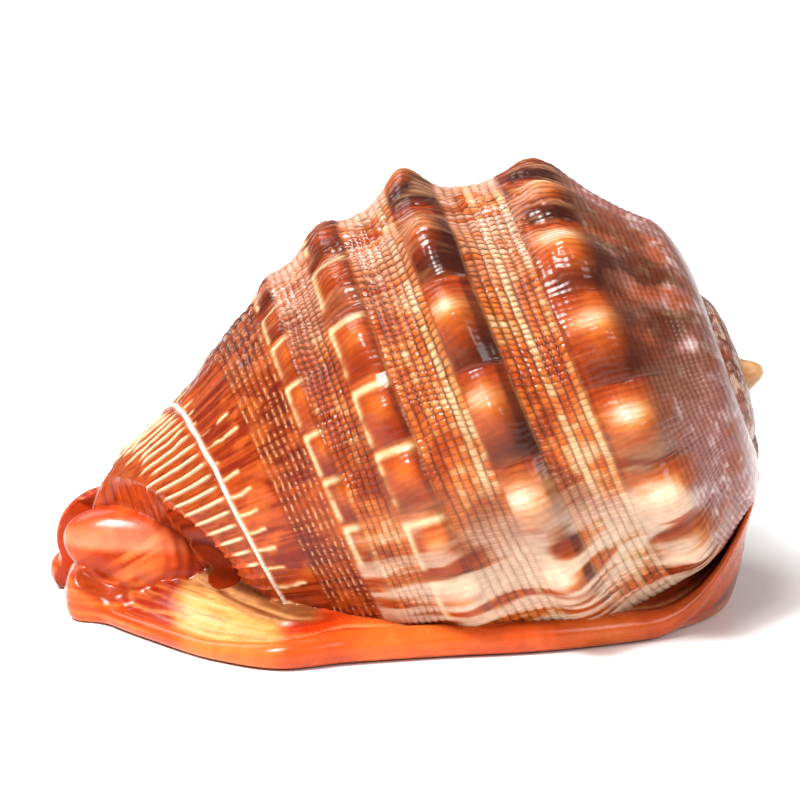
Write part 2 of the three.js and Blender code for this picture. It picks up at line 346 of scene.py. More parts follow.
def trough_at(station, angle):
    """Share of the neck's radius that the trough takes away."""
    edge = fasciole_edge(station)
    width = lerp(26, 12, smooth(station, 116, 130))
    within = np.where(angle < 0, smooth(-angle, edge, edge + width), smooth(angle, 120, 175))
    return lerp(0.45, 0.78, smooth(station, 118, 134)) * smooth(station, 106, 122) * within


def nearest_index(angle, angles):
    """Which of some falling angles is the nearest."""
    marks = np.array(angles, float)
    cuts = (marks[:-1] + marks[1:])[::-1] / 2
    return len(marks) - 1 - np.searchsorted(cuts, angle)


def nearest_offset(angle, angles):
    return angle - np.array(angles, float)[nearest_index(angle, angles)]


def knobs(station, angle):
    """How high the knobs stand. A knob is steeper on the side that the shell grows towards."""
    height = np.zeros_like(station)
    for at, drift, half_width, rise, half_angle, angles in KNOB_ROWS:
        across = bump_at(station, at + drift * angle, half_width)
        past = nearest_offset(angle, angles) / half_angle
        past = np.where(past > 0, past * 1.25, past * 0.88)
        height += rise * across * lerp(BAND_SHARE, 1, np.exp(-np.abs(past) ** 1.7))
    return height * (1 - smooth(angle, 110, 140)) * smooth(angle, -180, -140)


def body_whorl():
    share = np.linspace(0, 1, BODY_ROWS)[:, None]
    angle = np.linspace(-180, 180, BODY_COLUMNS, endpoint=False)[None, :]
    angle = np.broadcast_to(angle, (BODY_ROWS, BODY_COLUMNS)).copy()
    profile = spline(BACK_PROFILE, np.broadcast_to(share, angle.shape))
    station, radius = profile[..., 0], np.maximum(profile[..., 1], 0)

    size = growth_at(angle)
    shift = shift_at(station) * smooth(radius, 0, 12)
    grown = radius * (1 + (size - 1) * spread_at(station)) * (1 - trough_at(station, angle))
    grown += smooth(station, 14, 22) * knobs(station, angle)
    points = place(station * (1 + (size - 1) * shift), grown, angle)

    relief, colour = body_skin(station, angle)
    along = np.gradient(points, axis=0)
    around = np.roll(points, -1, axis=1) - np.roll(points, 1, axis=1)
    normal = np.cross(around, along)
    normal /= np.maximum(np.linalg.norm(normal, axis=-1), 1e-9)[..., None]
    points += normal * (relief * smooth(radius, 1, 8))[..., None]
    points[..., 2] = np.maximum(points[..., 2], LOWEST_OUTSIDE)
    return grid_mesh("body", points, colour, BODY_MARK)


# ---------------------------------------------------------------- relief and colour of the body whorl
def skin_fields(s, a):
    """What the relief and the colours share: noise, spiral bands, grooves and the marks at the front."""
    f = SimpleNamespace(s=s, a=a)
    f.still = np.zeros_like(s)
    f.upper = smooth(a, -50, -8)
    f.lower = smooth(-a, 45, 95)
    f.streak = streaks(s / 16, a / 1.6, 7)
    f.fine = streaks(s / 7, a / 0.6, 11, 2)
    f.cloud = layered(s / 15, a / 18, 5)
    f.spot = layered(s / 5, a / 6, 9)

    # a band keeps one value all the way round
    f.band = s - a * np.interp(s, DRIFT_STATIONS, DRIFTS) + 0.5 * (layered(s / 12, a / 10, 15) - 0.5)
    f.cords = np.interp(f.band, CORD_BANDS, CORD_COUNTS)
    wander = layered(s / 9, a / 14, 3) - 0.5
    f.growth = a / GROWTH_LINE_SPACING + (2.0 + 0.9 * f.upper) * wander
    f.growth = f.growth + (0.5 + 0.5 * f.upper) * noise(s / 2.2, a / 4, 13) + 0.06 * f.cords
    f.cord_line = groove(f.cords, 0.17)
    f.growth_line = groove(f.growth, 0.19)

    f.cells = sum(window(f.band, low, high, 0.7) for low, high in CELL_BANDS)
    f.ramp = 1 - smooth(f.band, 25, 30)
    f.lines = window(f.band, *LINE_BAND, 0.6)
    f.dashes = window(f.band, *DASH_BAND, 0.5)
    f.fasciole = smooth(f.band, RIDGE_BAND - 0.1, RIDGE_BAND + 0.9)
    f.plain = np.clip(1 - f.cells - f.ramp - f.lines - f.dashes - f.fasciole, 0, 1)
    f.low = smooth(-a, 74, 112) * (1 - smooth(s, 100, 116))
    f.pale_patch = smooth(streaks(s / 10, a / 5, 31), 0.34, 0.60)
    add_front_marks(f)
    return f


def add_front_marks(f):
    """Ridge, ribs and dashes at the front end."""
    f.ridge = bump_at(f.band, RIDGE_BAND, 0.55)
    rib_phase = f.a / RIB_SPACING + 0.06 * np.sin(f.s / 3)
    rib_phase = rib_phase - 0.30 * smooth(f.s, 119, 136) * smooth(-f.a, 5, 80)
    rib_pick = scatter(np.round(rib_phase), f.still, 21)
    f.rib_offset = rib_phase - np.round(rib_phase)
    f.rib_length = window(f.band, 120.8 + 0.8 * rib_pick, 131 + 4 * rib_pick, 1.4)
    f.rib = bump_at(f.rib_offset, 0, 0.13) * f.fasciole * f.rib_length
    dash_phase = f.a / DASH_SPACING + 0.2 + 0.25 * (layered(f.s / 3, f.a / 7, 25) - 0.5)
    dash_pick = scatter(np.round(dash_phase), f.still + 3, 23)
    dash_length = window(f.band, 118.2 - 10 * dash_pick ** 1.8, 118.8, 0.5)
    f.dash = groove(dash_phase, 0.10) * dash_length * smooth(f.spot, 0.25, 0.45)


def skin_relief(f):
    """Height of the fine relief in mm."""
    relief = -f.cells * (lerp(0.36, 0.20, f.upper) - 0.12 * f.lower) * groove(f.cords, 0.20)
    relief -= f.cells * (lerp(0.22, 0.55, f.upper) - 0.10 * f.lower) * groove(f.growth, 0.26)
    relief -= f.plain * (0.05 + 0.12 * f.upper) * groove(f.growth, 0.3) + 0.05 * f.plain * f.cord_line
    relief -= f.ramp * (0.16 * groove(f.cords, 0.25) + 0.10 * f.growth_line)
    relief -= f.lines * 0.22 * groove(f.cords, 0.16)
    relief += 0.12 * (f.streak - 0.5) + 0.8 * (f.cloud - 0.5) + (0.4 + 1.0 * f.upper) * (f.spot - 0.5)
    relief += 0.55 * f.ridge + 0.45 * f.rib + 0.16 * f.dash
    relief -= 0.12 * (1 - f.rib) * f.fasciole
    shown = (1 - smooth(f.a, 118, 140)) * smooth(f.a, -172, -150)
    return relief * shown * smooth(f.s, 10, 16)


def ground_colour(f):
    """Red and dark at the top, orange at the side, flecked with cream."""
    colour = mix(painted(f.s.shape, ORANGE_BROWN), RED_BROWN, smooth(f.cloud + 0.25 * f.upper, 0.42, 0.72))
    colour = mix(colour, ORANGE, smooth(f.spot, 0.48, 0.72) * 0.7)
    dark = smooth(f.streak, 0.55, 0.85) * 0.40 + 0.25 * f.upper * smooth(f.cloud, 0.5, 0.7)
    colour = mix(colour, DARK_BROWN, dark)
    return mix(colour, CREAM, smooth(f.fine, 0.62, 0.95) * 0.22)


def large_knob_colour(colour, f, across, up, light):
    """Cream crest with a painted highlight, and painted shade on the lower, posterior side, on the first two
    rows of knobs.
    """
    inside = window(across, -1.0, 0.95, 0.25)
    body = inside * window(up, -1.4, 0.9, 0.4)
    # light sets how brightly this knob is painted: partly its own colour, partly a painted highlight
    colour = mix(colour, RED_BROWN, 0.7 * inside * (0.3 + 0.9 * f.streak))
    colour = mix(colour, ORANGE_BROWN, (0.2 + 0.8 * light) * body * smooth(f.streak, 0.2, 0.55))
    warm = bump_at(across, 0.1, 0.8) * bump_at(up, 0.1, 0.8) * smooth(f.fine, 0.2, 0.6)
    colour = mix(colour, ORANGE, 0.45 * light * warm)
    # painted shade: dark on the knob's posterior side and under it, stronger towards the top of the shell
    shade = bump_at(across, -0.75, 0.60) * bump_at(up, -0.35, 1.0) + 0.9 * bump_at(up, -1.1, 0.5) * inside
    colour = mix(colour, DARK_BROWN, shade * (0.75 + 0.4 * f.upper) * (1 - 0.55 * f.low))
    # painted highlight: orange glow and a pale crest on the upper front of the knob; the crest is partly the
    # knob's own cream
    colour = mix(colour, KNOB_ORANGE_HIGHLIGHT, 0.75 * light * bump_at(across, 0.15, 0.65) * bump_at(up, 0.3, 0.42))
    crest_and_highlight = bump_at(across, 0.30, 0.50) * bump_at(up, 0.42, 0.30) * (0.4 + 0.8 * f.fine) * light
    return mix(colour, PALE, 1.25 * crest_and_highlight)


def small_knob_colour(colour, f, across, up):
    """Plain red-brown with a cream edge that is partly a painted highlight, and painted shade under the knob
    towards the top of the shell, on the last two rows of knobs.
    """
    inside = window(across, -1.0, 0.95, 0.25)
    body = inside * window(up, -1.4, 0.9, 0.4)
    colour = mix(colour, RED_BROWN, 0.85 * body)
    colour = mix(colour, ORANGE_BROWN, 0.8 * body * smooth(f.cloud, 0.35, 0.6) * (1 - 0.5 * f.upper))
    warm = bump_at(across, 0.1, 0.55) * bump_at(up, 0.15, 0.5)
    colour = mix(colour, ORANGE, (0.9 - 0.5 * f.upper) * warm)
    # painted shade under the knob, towards the top of the shell
    colour = mix(colour, DARK_BROWN, 0.6 * f.upper * inside * bump_at(up, -1.1, 0.5))
    # cream edge on the front and top sides: partly the knob's own cream, partly a painted highlight
    edge = bump_at(across, 0.95, 0.15) * window(up, -1.0, 0.9, 0.2) * smooth(f.spot, 0.2, 0.5)
    edge += bump_at(up, 0.9, 0.15) * window(across, -0.7, 1.0, 0.15)
    return mix(colour, CREAM, edge * 0.95)


def knob_colour(colour, f):
    for row, (at, drift, half_width, _, half_angle, angles) in enumerate(KNOB_ROWS):
        across = (f.s - (at + drift * f.a)) / half_width
        up = nearest_offset(f.a, angles) / half_angle
        if row < len(KNOB_CREST_AND_HIGHLIGHT):
            light = np.array(KNOB_CREST_AND_HIGHLIGHT[row])[nearest_index(f.a, angles)]
            colour = large_knob_colour(colour, f, across, up, light)
        else:
            colour = small_knob_colour(colour, f, across, up)
    strips = sum(strength * window(f.band, low, high, soft) for low, high, soft, strength in DARK_STRIPS)
    return mix(colour, DARK_BROWN, 0.75 * strips * (0.4 + 0.8 * f.streak))


def cell_colour(colour, f):
    """Beads between the grooves, pale patches near the shield, and dark grooves."""
    column = scatter(np.floor(f.cords), f.still, 43)
    cell = scatter(np.floor(f.cords), np.floor(f.growth), 41)
    light = 0.16 * cell + 0.55 * f.spot + 0.38 * column + 0.28 * (1 - f.cloud) - 0.09
    bead = mix(painted(f.s.shape, ORANGE_BROWN), ORANGE, smooth(light, 0.42, 0.60))
    bead = mix(bead, CREAM, smooth(light, 0.58, 0.85))
    bead = mix(bead, RED_BROWN, 0.7 * smooth(f.cloud, 0.52, 0.72))
    row = scatter(np.floor(f.growth), f.still, 45)
    bead = mix(bead, PINK, f.upper * smooth(0.5 * row + 0.5 * noise(f.s / 4, f.a / 9, 47), 0.25, 0.6) * 0.85)
    colour = mix(colour, bead, f.cells * 0.85)
    colour = mix(colour, PALE, f.low * f.pale_patch * 0.85)
    ink = np.maximum(
        lerp(0.95 - 0.45 * f.upper, 0.72, f.lower) * f.cord_line,
        lerp(0.74 + 0.20 * f.upper, 0.30, f.lower) * f.growth_line,
    )
    ink = np.maximum(ink, 0.42 * f.lower * groove(2 * f.growth, 0.2))
    colour = mix(colour, DARK_BROWN, f.cells * ink * (1 - 0.45 * f.low * f.pale_patch))
    colour = mix(colour, PINK, f.plain * f.upper * 0.35 * smooth(streaks(f.s / 9, f.a / 3, 49), 0.5, 0.75))
    return mix(colour, DARK_BROWN, f.plain * (0.16 + 0.45 * f.upper) * f.growth_line * (1 - 0.6 * f.low))


def ramp_colour(colour, f):
    """Shoulder and ramp towards the spire: mauve with pale flecks, and painted shade on the near side."""
    # painted shade on the near side of the ramp, behind the big knobs
    painted_ramp_shade = bump_at(f.a, -42, 34) * smooth(f.s, 5, 16)
    orange = smooth(layered(f.s / 8, f.a / 10, 53), 0.50, 0.70) * 0.55
    ramp = mix(painted(f.s.shape, MAUVE), ORANGE_BROWN, orange)
    patch = layered(f.s / 7, f.a / 9, 55) + 0.3 * (1 - smooth(f.s, 9, 24))
    fleck = smooth(streaks(f.a / 4, f.s / 1.7, 51), 0.45, 0.85) * smooth(patch, 0.35, 0.6)
    ramp = mix(ramp, RAMP_FLECK, fleck * 0.8)
    ramp = mix(ramp, DARK_BROWN, 0.85 * painted_ramp_shade * smooth(layered(f.s / 6, f.a / 8, 57), 0.2, 0.5))
    ramp = mix(ramp, DARK_BROWN, 0.45 * groove(f.cords, 0.22) * (0.4 + f.fine) + 0.12 * f.growth_line)
    colour = mix(colour, ramp, f.ramp)
    # painted shade along the posterior foot of the first knob row, on the near side
    return mix(colour, DARK_BROWN, 0.55 * window(f.band, 24, 29.5, 2) * painted_ramp_shade)


def front_colour(colour, f):
    """Fine dark lines, then orange with cream dashes and the white ridge."""
    front = mix(painted(f.s.shape, ORANGE_BROWN), RED_BROWN, smooth(f.streak, 0.35, 0.65))
    front = mix(front, ORANGE, smooth(f.spot, 0.5, 0.75) * 0.5)
    front = mix(front, DARK_BROWN, f.lines * (0.22 + 0.6 * groove(f.cords, 0.2)) * (0.6 + 0.6 * f.cloud))
    dots = groove(f.cords + 0.5, 0.10) * (noise(f.cords, f.a / 0.7, 61) > 0.5)
    front = mix(front, CREAM, f.lines * 0.6 * dots)
    patch = layered(f.s / 4.5, f.a / 5, 63)
    front = mix(front, ORANGE, f.lines * smooth(patch, 0.50, 0.75) * 0.40)
    front = mix(front, DARK_BROWN, 0.40 * smooth(f.a, -45, -10) * smooth(f.streak, 0.25, 0.6))
    front = mix(front, CREAM, f.dash)
    front = mix(front, RIDGE_WHITE, 1.2 * f.ridge)
    return mix(colour, front, np.clip(f.lines + f.dashes + f.ridge, 0, 1))


def neck_colour(colour, f):
    """Fasciole with its cream ribs, and the red trough beyond its edge."""
    grain = smooth(streaks(f.s / 2, f.a / 1.2, 71), 0.35, 0.8)
    neck = mix(painted(f.s.shape, NECK_ORANGE), RED_BROWN, grain * 0.75)
    neck = mix(neck, RIB_SHADOW, 0.7 * bump_at(f.rib_offset, 0.27, 0.09) * f.rib_length)
    neck = mix(neck, RIB_CREAM, 1.3 * f.rib)
    edge = fasciole_edge(f.s)
    beyond = np.where(f.a < 0, smooth(-f.a, edge - 1, edge + 3), 0) * smooth(f.s, 106, 110)
    grain = smooth(streaks(f.a / 60, (f.s + 0.15 * f.a) / 0.9, 73), 0.4, 0.75)
    trough = mix(painted(f.s.shape, TROUGH_RED), TROUGH_LINE, grain * 0.8)
    # painted shade, darker further round into the trough under the neck
    trough = mix(trough, TROUGH_SHADE, smooth(-f.a, edge + 20, edge + 60) * 0.35)
    neck = mix(neck, trough, beyond)
    return mix(colour, neck, np.maximum(f.fasciole, beyond))


def body_skin(station, angle):
    """Relief in mm and colour of the body whorl at each station and angle."""
    f = skin_fields(station, angle)
    colour = ground_colour(f)
    for layer in (knob_colour, cell_colour, ramp_colour, front_colour, neck_colour):
        colour = layer(colour, f)
    return skin_relief(f), colour


# ---------------------------------------------------------------- meshes
def enriched(colour):
    """Deepens the colours: the darker one is, the more of its green and blue go."""
    rich = np.clip(colour, 0, 1) ** 1.1
    return rich * (0.72 * np.stack([
        np.ones(len(rich)),
        lerp(0.80, 1.0, smooth(rich[:, 1], 0.10, 0.45)),
        lerp(0.45, 1.0, smooth(rich[:, 2], 0.02, 0.26)),
    ], axis=1))


def mesh_object(name, points, faces, colour, mark):
    """A mesh from points in mm, with its colour in Col. The alpha of Col holds the mark."""
    mesh = bpy.data.meshes.new(name)
    corners = np.concatenate([f.ravel() for f in faces]).astype(np.int32)
    lengths = np.concatenate([np.full(len(f), f.shape[1]) for f in faces]).astype(np.int32)
    starts = np.concatenate([[0], np.cumsum(lengths)[:-1]]).astype(np.int32)
    mesh.vertices.add(len(points))
    mesh.vertices.foreach_set("co", ((points + CENTRING) / 1000).astype(np.float32).ravel())
    mesh.loops.add(len(corners))
    mesh.loops.foreach_set("vertex_index", corners)
    mesh.polygons.add(len(lengths))
    mesh.polygons.foreach_set("loop_start", starts)
    mesh.update(calc_edges=True)
    layer = mesh.attributes.new("Col", "FLOAT_COLOR", "POINT")
    rgba = np.concatenate([enriched(colour), np.full((len(points), 1), mark)], axis=1)
    layer.data.foreach_set("color", rgba.astype(np.float32).ravel())
    made = bpy.data.objects.new(name, mesh)
    bpy.context.scene.collection.objects.link(made)
    return outward(made)


def outward(thing):
    """Turns the faces of a closed mesh outwards."""
    work = bmesh.new()
    work.from_mesh(thing.data)
    if work.calc_volume(signed=True) < 0:
        bmesh.ops.reverse_faces(work, faces=work.faces)
        work.to_mesh(thing.data)
    work.free()
    return thing


def grid_mesh(name, points, colour, mark):
    """Rows of rings. The first and last rows are each one point."""
    rows, columns = points.shape[:2]
    inner = points[1:-1].reshape(-1, 3)
    shade = colour[1:-1].reshape(-1, 3)
    count = len(inner)
    points = np.vstack([inner, points[0].mean(0), points[-1].mean(0)])
    shade = np.vstack([shade, colour[0].mean(0), colour[-1].mean(0)])
    index = np.arange(count).reshape(rows - 2, columns)
    after = np.roll(index, -1, axis=1)
    quads = np.stack([index[:-1], index[1:], after[1:], after[:-1]], axis=-1).reshape(-1, 4)
    first = np.stack([np.full(columns, count), index[0], after[0]], axis=-1)
    final = np.stack([np.full(columns, count + 1), after[-1], index[-1]], axis=-1)
    return mesh_object(name, points, [quads, first, final], shade, mark)


def field_mesh(name, field, low, high, colour, mark):
    """The zero surface of a field of distances, as a closed mesh."""
    axes = [np.arange(a, b, VOXEL, dtype=np.float32) for a, b in zip(low, high)]
    x, y, z = np.meshgrid(*axes, indexing="ij")
    grid = openvdb.FloatGrid(10.0)
    grid.copyFromArray(np.asarray(field(x, y, z), np.float32))
    points, quads = grid.convertToQuads()
    points = points * VOXEL + np.array(low)
    if mark == CALLUS_MARK:
        points[:, 2] = np.maximum(points[:, 2], 0)
    return mesh_object(name, points, [quads], colour(points), mark)


# ---------------------------------------------------------------- spire
def spire():
    """The earlier whorls: one section swept back along the coil, shrinking as it goes."""
    section = closed_curve(COIL_SECTION, COIL_COLUMNS)
    share = np.linspace(0, 1, COIL_ROWS)[:, None]
    turn = COIL_START - 360 * COIL_TURNS * np.clip((share - 0.03) / 0.94, 0, 1)
    turn = np.broadcast_to(turn, (COIL_ROWS, COIL_COLUMNS)).copy()
    size = WHORL_GROWTH ** (turn / 360)
    middle = np.array([23.0, 32.0])
    inset = np.ones((COIL_ROWS, 1, 1))
    inset[[0, -1]] = 0
    outline = (section[None] - middle) * inset + middle

    length = np.broadcast_to(np.arange(COIL_COLUMNS, dtype=float)[None, :], turn.shape)
    beads = bump_at(length, 52, 7) * (0.5 + 0.5 * np.cos(np.radians(turn / 24 * 360))) ** 1.5
    cord = groove(length / 3.2, 0.25)
    relief = size * (2.0 * beads - 0.28 * cord - 0.12 * groove(turn / 3.4, 0.25))
    radius = outline[..., 1] * size
    distance = 1 + (outline[..., 0] - 1) * size + SPIRE_DISH * np.exp(-((radius / 9) ** 2))
    lean = (outline - middle) / np.maximum(np.linalg.norm(outline - middle, axis=-1), 1e-6)[..., None]
    points = place(distance + lean[..., 0] * relief, radius + lean[..., 1] * relief, turn)
    points[..., 2] = np.maximum(points[..., 2], LOWEST_OUTSIDE)

    around = turn * 0.9
    dark = smooth(layered(length / 9, around / 3, 83), 0.35, 0.7)
    orange = smooth(layered(length / 14, around / 9, 85), 0.4, 0.7)
    pale = smooth(layered(length / 7, around / 5, 87), 0.48, 0.7)
    colour = mix(painted(turn.shape, MAUVE), DARK_BROWN, dark * 0.7)
    colour = mix(colour, ORANGE_BROWN, orange * 0.5)
    colour = mix(colour, PALE, pale * 0.8 + 0.5 * beads)
    colour = mix(colour, DARK_BROWN, 0.5 * cord)
    colour = mix(colour, CREAM, smooth(-turn, 650, 1000) * 0.7)
    return grid_mesh("spire", points, colour, BODY_MARK)


def apex_nub():
    rows, columns = 60, 96
    at = np.linspace(0, 1, rows) * (len(APEX_NUB) - 1)
    distance = np.interp(at, range(len(APEX_NUB)), APEX_NUB[:, 0])
    radius = np.interp(at, range(len(APEX_NUB)), APEX_NUB[:, 1])
    turn = np.linspace(0, 360, columns, endpoint=False)[None, :]
    turn = np.broadcast_to(turn, (rows, columns))
    distance = np.broadcast_to(distance[:, None], turn.shape)
    radius = np.broadcast_to(radius[:, None], turn.shape)
    points = place(distance, radius, turn)
    colour = mix(painted(turn.shape, APEX_TAN), ORANGE_BROWN, 0.35 * noise(turn / 40, distance, 91))
    return grid_mesh("nub", points, colour, BODY_MARK)


# ---------------------------------------------------------------- fields of distances
def soft_min(a, b, k):
    h = np.clip(0.5 + 0.5 * (b - a) / k, 0, 1)
    return lerp(b, a, h) - k * h * (1 - h)


def soft_max(a, b, k):
    return -soft_min(-a, -b, k)


def blob(x, y, z, centre, half, lean):
    """Nearly the distance to an ellipsoid whose long axis dips by the lean towards +X."""
    u, w = x - centre[0], z - centre[2]
    c, s = math.cos(lean), math.sin(lean)
    u, w = u * c - w * s, u * s + w * c
    v = y - centre[1]
    k0 = np.sqrt((u / half[0]) ** 2 + (v / half[1]) ** 2 + (w / half[2]) ** 2)
    k1 = np.sqrt((u / half[0] ** 2) ** 2 + (v / half[1] ** 2) ** 2 + (w / half[2] ** 2) ** 2)
    return k0 * (k0 - 1) / np.maximum(k1, 1e-6)


def block(x, y, z, centre, half, rounding):
    """Distance to a box with rounded edges."""
    q = [np.abs(v - c) - (h - rounding) for v, c, h in zip((x, y, z), centre, half)]
    outside = np.sqrt(sum(np.maximum(k, 0) ** 2 for k in q))
    return outside + np.minimum(np.maximum(np.maximum(q[0], q[1]), q[2]), 0) - rounding


# ---------------------------------------------------------------- shield, lip and canal
def polygon_radius(outline):
    """Radius of a star-shaped outline by angle, and how much the rim leans from the radial."""
    turn = np.unwrap(np.arctan2(outline[:, 1], outline[:, 0]))
    if turn[-1] < turn[0]:
        outline, turn = outline[::-1], turn[::-1]
    reach = np.linalg.norm(outline, axis=1)
    every = np.linspace(-math.pi, math.pi, 2881)
    wrapped = (turn + math.pi) % (2 * math.pi) - math.pi
    order = np.argsort(wrapped)
    radius = np.interp(every, wrapped[order], reach[order], period=2 * math.pi)
    lean = 1 / np.sqrt(1 + (np.gradient(radius, every) / radius) ** 2)
    return every, radius, lean


RIM_ANGLES, RIM_RADII, RIM_LEAN = polygon_radius(closed_curve(FLANGE_OUTLINE, 2000))


def inward(x, y):
    """Distance in from the rim of the flange, in plan."""
    turn = np.arctan2(y, x)
    return (np.interp(turn, RIM_ANGLES, RIM_RADII) - np.hypot(x, y)) * np.interp(turn, RIM_ANGLES, RIM_LEAN)


def flange_field(x, y, z):
    """Shield and outer lip: a sheet with a rolled rim, whose posterior end curls up the spire."""
    d = inward(x, y)
    rise = FLANGE_LIFT * np.maximum((x - 50) / 25, 0) ** 2
    under = rise * (1 - smooth(d, 0, 7))
    over = rise * (1 - smooth(d, 0, 17))
    rim = lerp(np.interp(x, RIM_STATIONS, RIM_HEIGHTS), LIP_RIM_HEIGHT, smooth(y, 0, 22))
    inner = 9.2 + 7 * smooth(d, 12, 25) * window(x, -42, -20, 6) * (1 - smooth(y, -15, -5))
    lines = 0.22 * np.sin(d * 1.9 + 3 * noise(x / 14, y / 14, 101)) * smooth(d, 3, 5)
    top = lerp(2 * rim - 1.1, np.maximum(inner, 2 * rim + 0.6), smooth(d, rim, 12)) + lines + over
    roll = np.hypot(d - rim, z - rim - over * 0.55 - under * 0.45) - rim
    sheet = np.maximum(rim - d, np.abs(z - (top + under) / 2) - (top - under) / 2)
    return soft_min(roll, sheet, 0.4)


def near_wall_field(x, y, z):
    """The near wall of the canal: a long bulge that dips towards the shield, with a flatter face."""
    face = -0.82 * (y + 17.3) + 0.40 * (z - 13) - 0.12 * (x + 56) - 0.02 * (z - 13) ** 2 + 0.3
    return soft_max(blob(x, y, z, *NEAR_WALL), face, 5.0)


def callus_field(x, y, z):
    field = flange_field(x, y, z)
    field = soft_min(field, block(x, y, z, *FOOT), 3.0)
    field = soft_max(field, -blob(x, y, z, *POCKET), 1.5)
    field = soft_min(field, soft_min(blob(x, y, z, *FAR_WALL), blob(x, y, z, *ROOF), 2.0), 2.5)
    field = soft_min(field, near_wall_field(x, y, z), 0.6)
    return np.maximum(field, -z)


def bowl_field(x, y, z):
    """The hollow between the near wall and the fasciole."""
    return blob(x, y, z, *BOWL)


def mouth_field(x, y, z):
    """The slot of the mouth with the gaps between its teeth, and the channel of the canal."""
    across = y - np.interp(x, *SLOT_MIDDLE)
    lip_side = across > 0
    pitch = np.where(lip_side, LIP_TOOTH_PITCH, FOLD_PITCH)
    gap = (0.5 - 0.5 * np.cos(2 * math.pi * x / pitch + 2 * noise(x / 20, x * 0, 111))) ** 1.4
    teeth = window(x, -42, 44, 3) * gap
    flare = 1.6 * np.exp(-np.maximum(z, 0) / 1.6)
    between = teeth * (1.2 + np.where(lip_side, 6.5, 8.0) * np.exp(-np.maximum(z + 0.2, 0) / 0.8))
    slot = np.abs(across) - np.interp(x, *SLOT_HALF) - flare - between
    slot = np.maximum(slot * 0.8, z - SLOT_HEIGHT)
    channel = soft_max(x - CHANNEL_END, z - np.interp(x, *CHANNEL_TOP), 2.0)
    return soft_min(slot, np.maximum(np.abs(y - CHANNEL_MIDDLE) - CHANNEL_HALF, channel), 1.5)


def flange_top_colour(x, y, d):
    """Colour of the top of the flange: it changes along the shell and has fine streaks."""
    at = x + 3 * (layered(x / 6, y / 6, 121) - 0.5) + np.where(y > 0, FAR_SIDE_SHIFT, 0)
    stops = np.array([s for s, _ in RIM_COLOURS])
    shades = np.array([c for _, c in RIM_COLOURS])
    colour = np.stack([np.interp(at, stops, shades[:, i]) for i in range(3)], axis=1)
    grain = streaks(np.arctan2(y, x) * 5, d * 1.3, 123)
    colour = mix(colour, colour * 0.5, smooth(grain, 0.5, 0.75) * 0.7)
    return mix(colour, FLANGE_STREAK, smooth(1 - grain, 0.62, 0.85) * 0.35)


def flange_colour(x, y, z, d):
    top = flange_top_colour(x, y, d)
    rim = mix(painted(x.shape, RIM_RED), RIM_ORANGE, layered(x / 16, y / 16, 125))
    rim = mix(rim, top, 0.35)
    colour = mix(rim, top, smooth(d, 2.6, 4.2) * smooth(z, 2.5, 4))
    # painted highlight: a pale line just inside the rolled rim, on its upper side
    highlight_line = bump_at(d, 5.2 + 1.2 * noise(x / 9, y / 9, 133), 0.35)
    colour = mix(colour, FLANGE_HIGHLIGHT_LINE, 0.4 * highlight_line * smooth(z, 3, 5))
    shore = d + 1.5 * noise(x / 5, y / 5, 139) - lerp(13.5, 9, smooth(x, -43, -29))
    wedge = smooth(shore, 0, 1.6) * window(x, -44, -17, 3) * (1 - smooth(y, -12, -6))
    rings = smooth(streaks(x / 30, z * 1.4 + 0.12 * x, 131), 0.40, 0.62)
    return mix(colour, mix(painted(x.shape, WEDGE_TAN), WEDGE_LINE, rings), wedge)


def near_wall_colour(x, y, z):
    grain = streaks((x + z) / 30, (z - 0.6 * x) * 0.55, 127, 2)
    colour = mix(painted(x.shape, WALL_RED), WALL_LINE, smooth(grain, 0.42, 0.68) * 0.75)
    colour = mix(colour, WALL_LIGHT, window(x, -60, -51, 3) * smooth(1 - grain, 0.35, 0.6) * 0.6)
    colour = mix(colour, WALL_TOP, smooth(z, 17.5, 20) * 0.6)
    # painted highlight along the top rim of the near wall
    edge = bump_at(near_wall_field(x, y, z + 1.2) - 0.3, 0, 0.35) * smooth(z, 14, 16)
    colour = mix(colour, WALL_RIM_HIGHLIGHT, 0.6 * edge)
    fold = np.hypot(x + 60, z - 14) + 0.8 * noise(x / 4, z / 4, 141)
    return mix(colour, WALL_FOLD, smooth(x, -53, -44) * (0.5 + 0.4 * np.sin(fold * 2.4)))


def base_colour(x, y):
    """The flat underside, paler beside the mouth."""
    colour = mix(painted(x.shape, BASE_ORANGE), BASE_LIGHT, layered(x / 22, y / 14, 129))
    beside = smooth(14 - np.abs(y - np.interp(x, *SLOT_MIDDLE)), 0, 8)
    return mix(colour, BASE_CREAM, beside * 0.7)


def callus_colour(points):
    x, y, z = points.T
    d = inward(x, y)
    colour = flange_colour(x, y, z, d)
    foot = 1 - smooth(x, -56, -48)
    grain = streaks(x / 25 + y / 25, z * 1.5, 137)
    colour = mix(colour, FOOT_DARK, foot * smooth(grain, 0.42, 0.65) * 0.6)
    colour = mix(colour, FOOT_LIGHT, foot * smooth(1 - grain, 0.5, 0.7) * 0.5)
    wall = smooth(-near_wall_field(x, y, z), -0.7, -0.2)
    colour = mix(colour, near_wall_colour(x, y, z), wall)
    # painted shade in the pocket under the near wall
    pocket_shade = 1 - smooth(np.abs(blob(x, y, z, *POCKET)), 0.5, 1.8)
    colour = mix(colour, POCKET_SHADE_RED, pocket_shade * (1 - wall) * 0.8)
    return mix(colour, base_colour(x, y), (1 - smooth(z, 0.4, 1.6)) * smooth(d, 2.0, 5.0))


def bowl_colour(points):
    x, y, z = points.T
    rings = smooth(streaks(x / 30, np.hypot(y + 25, z - 24) * 1.1, 135), 0.38, 0.62)
    colour = mix(painted(x.shape, BOWL_RED), BOWL_LINE, rings * 0.8)
    # painted shade towards the bottom of the hollow
    return mix(colour, BOWL_FLOOR_SHADE, (1 - smooth(z, 10, 13.5)) * 0.7)


